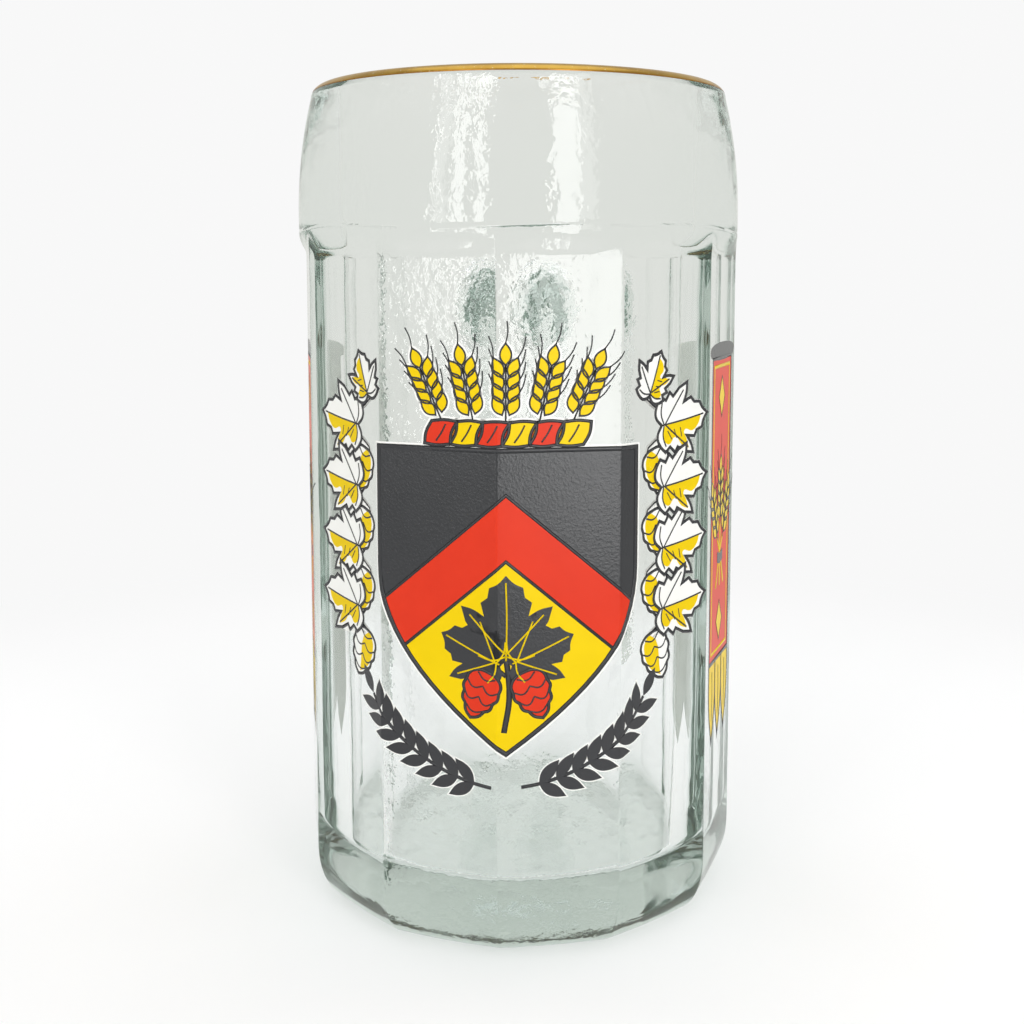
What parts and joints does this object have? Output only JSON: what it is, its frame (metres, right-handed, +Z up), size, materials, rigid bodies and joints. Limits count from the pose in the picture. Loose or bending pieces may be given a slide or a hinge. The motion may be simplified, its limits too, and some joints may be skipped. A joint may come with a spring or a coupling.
{
  "type": "glass beer mug",
  "caption": "Clear pressed-glass beer mug with flat panels, a round lip band, a thick floor, a loop handle, a gilded rim and fired enamel prints.",
  "frame": {"origin": "centre of the flat underside, on the cup's axis", "axes": "+Z up along the cup's axis, -Y to the middle of the print, +Y to the handle"},
  "size_m": [0.089, 0.1315, 0.1634],
  "materials": {
    "clear_glass": "clear pressed soda-lime glass with a faint green tint, fire polished",
    "fired_gold": "thin bright gold fired on the lip",
    "enamel_black": "opaque black glass enamel, screen printed and fired, half gloss",
    "enamel_red": "opaque red glass enamel, screen printed and fired, half gloss",
    "enamel_yellow": "opaque yellow glass enamel, screen printed and fired, half gloss",
    "enamel_white": "opaque white glass enamel, screen printed and fired, half gloss"
  },
  "bodies": {
    "root": {"mug_body": "clear_glass", "handle": "clear_glass", "rim_gilding": "fired_gold", "shield_black_field": "enamel_black", "shield_hop_sprig": "enamel_black", "leaf_sprig_left": "enamel_black", "leaf_sprig_right": "enamel_black", "banner_left_bar": "enamel_black", "banner_right_bar": "enamel_black", "shield_red_chevron": "enamel_red", "crest_torse": "enamel_red", "banner_left_cloth": "enamel_red", "banner_right_cloth": "enamel_red", "shield_yellow_field": "enamel_yellow", "crest_barley_1": "enamel_yellow", "crest_barley_2": "enamel_yellow", "crest_barley_3": "enamel_yellow", "crest_barley_4": "enamel_yellow", "crest_barley_5": "enamel_yellow", "banner_left_tails": "enamel_yellow", "banner_right_tails": "enamel_yellow", "hop_bine_left": "enamel_white", "hop_bine_right": "enamel_white"}
  },
  "joints": []
}
